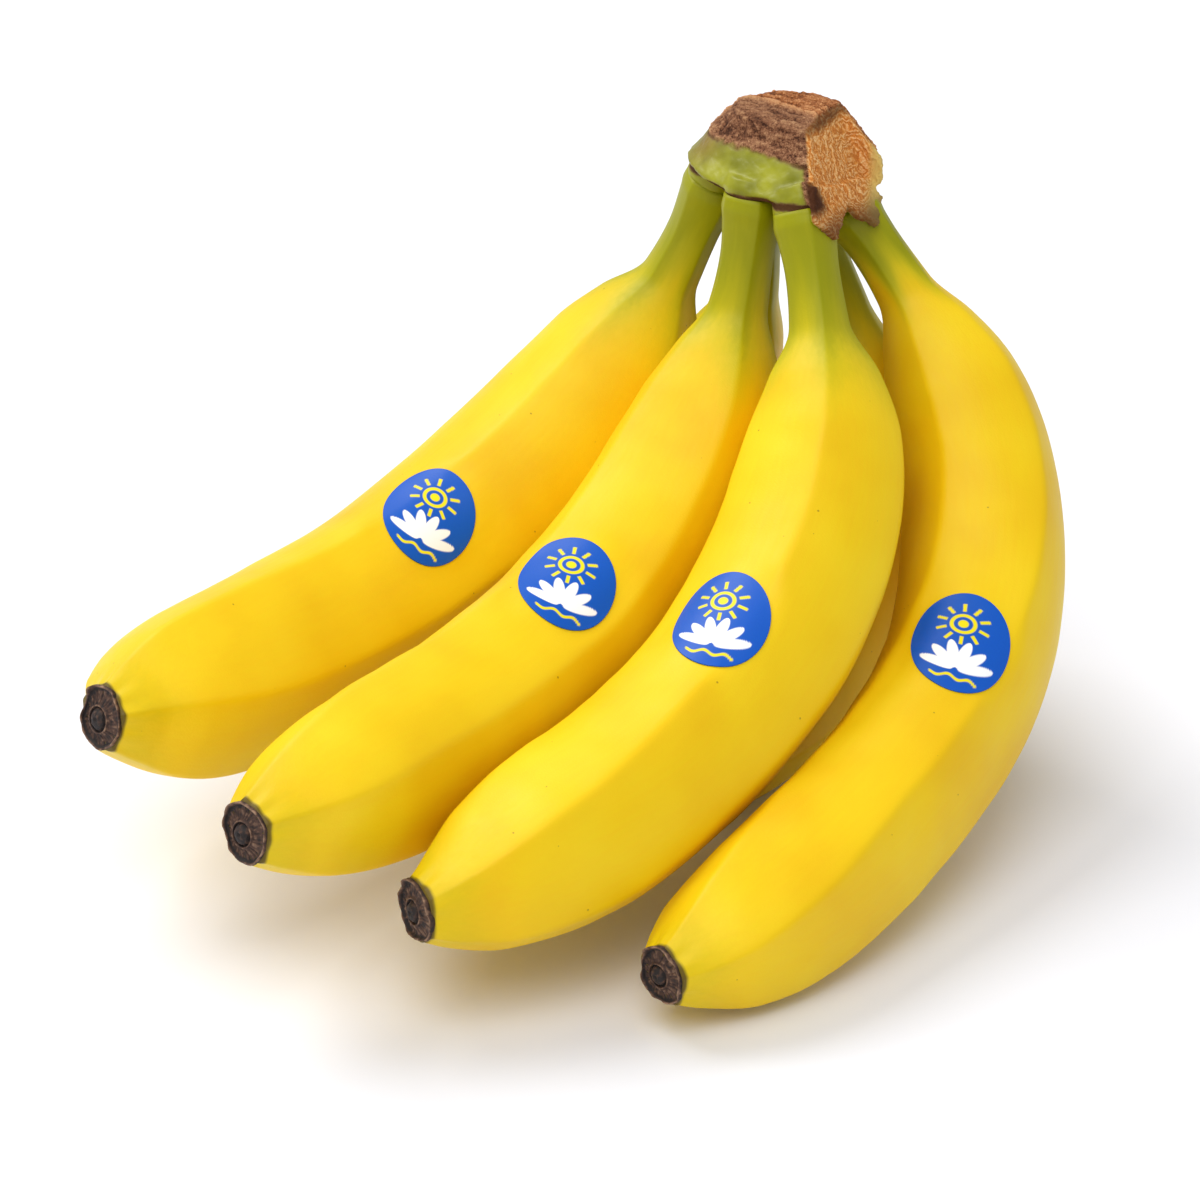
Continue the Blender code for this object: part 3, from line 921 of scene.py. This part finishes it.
@dataclass
class Crown:
    """The cut pad that the six necks grow from."""

    spines: Sequence[Spine]
    finish: Material
    middle: Pair = (45.0, 77.0)
    peak: float = 156.0
    hollow: float = 140.8
    edge: float = 1.8
    shoulder_middle: Pair = (66.0, 95.0)
    shoulder_scale: float = 0.87
    top_middle: Pair = (60.0, 90.0)
    cut_point: Point = (45.7, 50.0, 149.8)
    cut_normal: Point = (0.82, -0.38, 0.43)
    cutter_size: float = 60.0
    stub_top: float = 143.8
    stub_radii: tuple[float, ...] = (6.75, 6.8, 5.6)
    stub_lean: float = 0.6
    stub_columns: int = 32
    voxel: float = 0.40
    # Plan direction of the front edge, which the fibres of the top follow, and the raised seam beside it
    front_edge: Pair = (0.68, -0.73)
    seam_offset: float = 83.5
    stain: Point = (27.0, 79.0, 146.5)
    stain_size: float = 6.5
    swirl_middle: Point = (58.5, 74.0, 143.5)
    swirl_gap: float = 2.4
    outline: tuple[tuple[float, float, float, float], ...] = (
        (20.5, 80.0, 141.5, 149.5), (22.5, 71.5, 140.5, 149.8), (28.0, 64.0, 139.6, 150.0),
        (36.5, 55.5, 139.4, 149.8), (45.5, 48.5, 140.8, 149.6), (57.0, 50.0, 141.0, 148.0),
        (64.0, 62.0, 139.0, 146.0), (66.5, 75.0, 137.6, 143.0), (65.0, 86.0, 136.6, 142.0),
        (58.0, 95.5, 137.6, 148.0), (46.0, 101.0, 139.0, 150.6), (32.0, 98.5, 140.4, 149.6),
        (23.0, 90.5, 141.4, 149.4))
    # Torn points of the cut face that hang over the necks, each an outline in the plane of the cut
    torn_points: tuple[tuple[Point, ...], ...] = (
        ((47.6, 49.5, 145.7), (48.7, 44.9, 138.9), (51.2, 46.4, 136.4), (53.9, 48.5, 133.2), (55.3, 54.0, 135.6),
         (56.9, 60.3, 137.7), (55.5, 62.0, 141.7)),
        ((56.0, 63.5, 142.1), (57.0, 60.6, 137.5), (59.7, 62.1, 133.9), (62.4, 65.2, 132.2), (64.8, 68.2, 129.6),
         (65.2, 71.8, 131.9), (66.0, 76.0, 134.2), (62.0, 74.0, 139.9)))
    torn_depth: float = 1.0
    torn_lift: float = 0.9

    def fine_outline(self) -> Array:
        """Round the outline by cutting its corners three times.

        Returns:
            Place in plan with the lower and upper edge's height, one point a row.
        """
        points = np.array(self.outline)
        for _ in range(3):
            after = np.roll(points, -1, axis=0)
            points = np.stack((0.75 * points + 0.25 * after, 0.25 * points + 0.75 * after), axis=1).reshape(-1, 4)
        points[:, :2] += 0.02 * (points[:, :2] - self.middle)
        return points

    def ring(self, scale: float, share: float, shift: float = 0.0, level: float | None = None,
             middle: Pair | None = None) -> Array:
        """Find one ring of the pad.

        Args:
            scale: Size of the outline about its middle.
            share: Height between the lower edge, 0, and the upper edge, 1.
            shift: Height added in mm.
            level: One height for the whole ring, in place of the edges' heights.
            middle: Point that the outline shrinks to, if not the pad's own middle.

        Returns:
            Points in mm.
        """
        outline = self.fine_outline()
        centre = np.array(middle or self.middle)
        plan = centre + scale * (outline[:, :2] - centre)
        height = outline[:, 2] + share * (outline[:, 3] - outline[:, 2]) + shift
        if level is not None:
            height = np.full(len(outline), level)
        return np.column_stack((plan, height)) - BUNCH_MIDDLE

    def loft(self, name: str, rings: Sequence[Array]) -> Object:
        """Make a closed object from rings of as many points each, in mm."""
        return add_mesh(name, np.vstack(rings), tube_faces(len(rings), len(rings[0])))

    def stub(self, spine: Spine) -> Object:
        """Make the end of a neck, from its seam up into the pad.

        Args:
            spine: The finger's middle line.

        Returns:
            The helper object.
        """
        place, along, inward = spine.frames(np.array(-spine.finger.reach - 0.3))
        climb = self.stub_top - place[2]
        slope = self.stub_lean * along[:2] / along[2]
        top = place + climb * np.array((*slope, 1))
        ring = spokes(circle(self.stub_columns), inward, spine.side)
        shares = np.linspace(0, 1, len(self.stub_radii))
        rings = [place + share * (top - place) + radius * ring for share, radius in zip(shares, self.stub_radii)]
        return self.loft(f"stub_{spine.finger.number}", rings)

    def cutter(self) -> Object:
        """Make the block whose one face is the plane of the side cut."""
        half = self.cutter_size / 2
        square = square_corners(half)
        made = self.loft("cutter", [square - (0, 0, half), square + (0, 0, half)])
        normal = Vector(self.cut_normal).normalized()
        place = Vector(np.array(self.cut_point) - BUNCH_MIDDLE) + normal * half
        made.data.transform(Matrix.Translation(place * MM) @ normal.to_track_quat("Z", "Y").to_matrix().to_4x4())
        return made

    def torn(self, number: int) -> Object:
        """Make one torn point, a thin plate just inside the plane of the cut."""
        corners = np.array(self.torn_points[number]) - BUNCH_MIDDLE
        normal = unit(self.cut_normal)
        rings = [corners - self.torn_depth * normal, corners + self.torn_lift * normal]
        return self.loft(f"torn_point_{number}", rings)

    def shaped(self, crown: Object) -> bpy.types.Mesh:
        """The object's mesh with its modifiers applied, which are then taken off."""
        mesh = bpy.data.meshes.new_from_object(crown.evaluated_get(bpy.context.evaluated_depsgraph_get()))
        crown.modifiers.clear()
        return mesh

    def build(self) -> None:
        """Build the crown: join pad and stubs, cut the side, then raise the fibres."""
        shoulder = self.shoulder_middle
        rings = [self.ring(0.5, 0, level=self.hollow), self.ring(0.95, 0), self.ring(1.0, 0, self.edge),
                 self.ring((1 + self.shoulder_scale) / 2, 0.55, middle=shoulder),
                 self.ring(self.shoulder_scale, 1, middle=shoulder), self.ring(0.80, 1, 1.6, middle=self.top_middle),
                 self.ring(0.55, 0, level=self.peak - 0.5), self.ring(0.3, 0, level=self.peak)]
        crown = self.loft("cut_crown", rings)
        helpers = [(self.stub(spine), "UNION") for spine in self.spines] + [(self.cutter(), "DIFFERENCE")]
        for helper, operation in helpers:
            step = crown.modifiers.new(helper.name, "BOOLEAN")
            step.operation = operation
            step.object = helper
            step.solver = "EXACT"
        torn = [self.torn(number) for number in range(len(self.torn_points))]
        joined = bmesh.new()
        joined.from_mesh(self.shaped(crown))
        for plate in torn:
            joined.from_mesh(plate.data)
        joined.to_mesh(crown.data)
        joined.free()
        remesh = crown.modifiers.new("even_faces", "REMESH")
        remesh.mode = "VOXEL"
        remesh.voxel_size = self.voxel * MM
        soften = crown.modifiers.new("soften", "SMOOTH")
        soften.iterations = 4
        soften.factor = 0.5
        mesh = self.shaped(crown)
        crown.data = mesh
        for helper in [pair[0] for pair in helpers] + torn:
            bpy.data.objects.remove(helper)
        dress(crown, self.finish, ["crown"], self.carve(mesh))

    def edges_at(self, points: Array) -> tuple[Array, Array, Array]:
        """Find the pad's outline beside each point.

        Args:
            points: Points in layout mm.

        Returns:
            Share of the way out to the outline, and the heights of the lower and upper edge there.
        """
        outline = self.fine_outline()
        away = outline[:, :2] - self.middle
        angles = np.arctan2(away[:, 1], away[:, 0])
        order = np.argsort(angles)
        offset = points[:, 0] - self.middle[0], points[:, 1] - self.middle[1]
        turn = np.arctan2(offset[1], offset[0])
        reach, low, high = [np.interp(turn, angles[order], values[order], period=tau)
                            for values in (np.hypot(away[:, 0], away[:, 1]), outline[:, 2], outline[:, 3])]
        return np.hypot(*offset) / reach, low, high

    def carve(self, mesh: bpy.types.Mesh) -> dict[str, Array]:
        """Raise fibres and creases, and mark the regions that the material colours.

        Args:
            mesh: The crown's even mesh, in metres.

        Returns:
            Values at the mesh's points by name.
        """
        flat = np.zeros(len(mesh.vertices) * 3)
        mesh.vertices.foreach_get("co", flat)
        points = flat.reshape(-1, 3) / MM + BUNCH_MIDDLE
        mesh.vertices.foreach_get("normal", flat)
        normals = flat.reshape(-1, 3).copy()
        out, low, high = self.edges_at(points)
        height = points[:, 2]
        wobble = grain(points, 5.0, 3.0, 3)
        fine = grain(points, 1.3, 11.0, 3)
        ex, ey = self.front_edge
        lengthwise = ex * points[:, 0] + ey * points[:, 1] + 2.0 * wobble
        crosswise = -ey * points[:, 0] + ex * points[:, 1] + 1.6 * wobble
        threads = grain(np.column_stack((lengthwise / 5.0, crosswise, height)), 1.1, 5.0, 2)
        plane = (points - np.array(self.cut_point)) @ unit(self.cut_normal)
        cut = ease(-0.95, -0.5, plane)
        under = 1 - ease(-0.7, 0.0, height - low)
        rise = height - low + 0.4 * wobble
        brink = height - high + 0.8 * wobble
        seam = ease(-0.9, -0.3, rise) * (1 - ease(0.8, 1.4, rise)) * ease(0.80, 0.92, out) * (1 - cut)
        seam = np.maximum(seam, 0.8 * bell(brink, -0.7, 0.35) * ease(0.7, 0.8, out) * (1 - cut))
        wall = (1 - ease(-1.0, -0.2, brink)) * (1 - under)
        skin = wall * (1 - ease(-2.1, -1.2, plane + 0.4 * wobble)) * (1 - seam)
        stub = under * (1 - cut) * (1 - seam)
        swirl = np.linalg.norm(points - self.swirl_middle, axis=1) + 2.6 * wobble + 0.5 * fine
        rim = cut * ease(0.80, 0.93, out) * ease(60, 70, points[:, 1])
        lower_edge = 0.75 * ease(0.0, 6.0, low - height + 0.5 * wobble)
        left_edge = ease(0.86, 0.97, out + 0.03 * wobble) * (1 - ease(52, 58, points[:, 1])) * ease(-2.5, 0.5, rise)
        scorch = np.clip(0.8 * ease(152.8, 155.4, height + 0.8 * wobble) + left_edge + lower_edge, 0, 1)
        bark = (1 - cut) * (1 - skin) * (1 - under) * (1 - seam)
        grey = 1 - ease(-1.0, 1.0, crosswise - self.seam_offset)
        crease = bell(crosswise, self.seam_offset, 0.9)
        stain = 0.8 * bell(np.linalg.norm(points - self.stain, axis=1), 0, self.stain_size)
        lip = bell(brink, 0.15, 0.4) * (1 - cut) * ease(0.7, 0.8, out)
        relief = (bark * (0.22 * fine + 0.45 * threads + 0.30 * wobble + 0.5 * crease + 0.5 * (1 - grey)) + 0.35 * lip
                  + cut * (0.10 * np.sin(tau * swirl / self.swirl_gap) + 0.20 * fine)
                  + skin * (0.28 * wobble + 0.05 * fine) - 0.30 * seam + stub * 0.06 * wobble)
        moved = points + relief[:, None] * normals
        mesh.vertices.foreach_set("co", ((moved - BUNCH_MIDDLE) * MM).ravel())
        mesh.update()
        # Partly fibre grain and partly painted highlight: the tint is lighter where threads, crease and lip are raised
        tint = np.clip(0.2 * fine + 0.5 * threads + 0.5 * crease + 0.6 * lip, -0.7, 0.8)
        return {"cut": cut, "skin": skin, "seam": seam, "stub": stub, "swirl": swirl, "rim": rim, "scorch": scorch,
                "grey": grey, "stain": stain, "relief": tint}


@dataclass
class Studio:
    """White product studio: pale board, broad soft lamps and the camera."""

    elevation: float = 25.0
    distance: float = 800.0
    aim: Point = (0.0, 0.0, 65.0)
    pixels_per_mm: float = 4.45
    picture: float = 1200.0
    sensor: float = 36.0
    board_size: float = 12000.0
    view_depth: float = 50000.0

    def build(self) -> None:
        """Set up the board, the lamps, the surroundings and the camera."""
        self.add_board()
        self.add_lamp("key", place=(-1400.0, 1000.0, 2500.0), size=1800.0, power=56.0, tint="#FFFDF8")
        self.add_lamp("top_fill", place=(-600.0, -1800.0, 3000.0), size=2400.0, power=58.0, tint="#FFFFFF")
        self.add_surroundings(tint="#FFFFFF", strength=0.48)
        self.add_camera()
        bpy.context.scene.view_settings.view_transform = "Standard"

    def add_board(self) -> None:
        """Lay the pale board on the ground."""
        half = self.board_size / 2
        board = add_mesh("board", square_corners(half), [(0, 1, 2, 3)])
        board.data.materials.append(PaleBoard().material())

    def add_lamp(self, name: str, place: Point, size: float, power: float, tint: str) -> None:
        """Hang a square soft lamp that faces the bunch.

        Args:
            name: Lamp name.
            place: Its place in mm.
            size: Side of the lamp in mm.
            power: Power in watts.
            tint: Colour of the light.
        """
        data = bpy.data.lights.new(name, "AREA")
        data.size = size * MM
        data.energy = power
        data.color = linear(tint)[:3]
        lamp = add_object(name, data)
        lamp.location = Vector(place) * MM
        lamp.rotation_euler = (Vector(self.aim) - Vector(place)).to_track_quat("-Z", "Y").to_euler()

    def add_surroundings(self, tint: str, strength: float) -> None:
        """Surround the bunch with even light.

        Args:
            tint: Colour of the surroundings.
            strength: How bright they are.
        """
        world = bpy.data.worlds.new("studio_walls")
        world.use_nodes = True
        background = world.node_tree.nodes["Background"]
        background.inputs["Color"].default_value = linear(tint)
        background.inputs["Strength"].default_value = strength
        bpy.context.scene.world = world

    def add_camera(self) -> None:
        """Stand the camera at the photograph's angle."""
        tilt = radians(self.elevation)
        back = np.array((0.0, -cos(tilt), sin(tilt)))
        data = bpy.data.cameras.new("camera")
        data.sensor_width = self.sensor
        data.lens = self.sensor * self.pixels_per_mm * self.distance / self.picture
        data.clip_end = self.view_depth * MM
        camera = add_object("camera", data)
        camera.location = Vector((np.array(self.aim) - BUNCH_MIDDLE + back * self.distance) * MM)
        camera.rotation_euler = (radians(90 - self.elevation), 0.0, 0.0)
        bpy.context.scene.camera = camera


def main() -> None:
    """Build the bunch and its studio."""
    logging.basicConfig(level=logging.INFO, format="%(name)s: %(message)s")
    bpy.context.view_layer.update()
    peel = RipePeel().material()
    blossom = DriedBlossom().material()
    label = PrintedLabel().material()
    bananas = [Banana(finger, peel, blossom, label) for finger in FINGERS]
    for banana in bananas:
        banana.build()
    Crown([banana.spine for banana in bananas], CutCrown().material()).build()
    Studio().build()


if __name__ == "__main__":
    main()
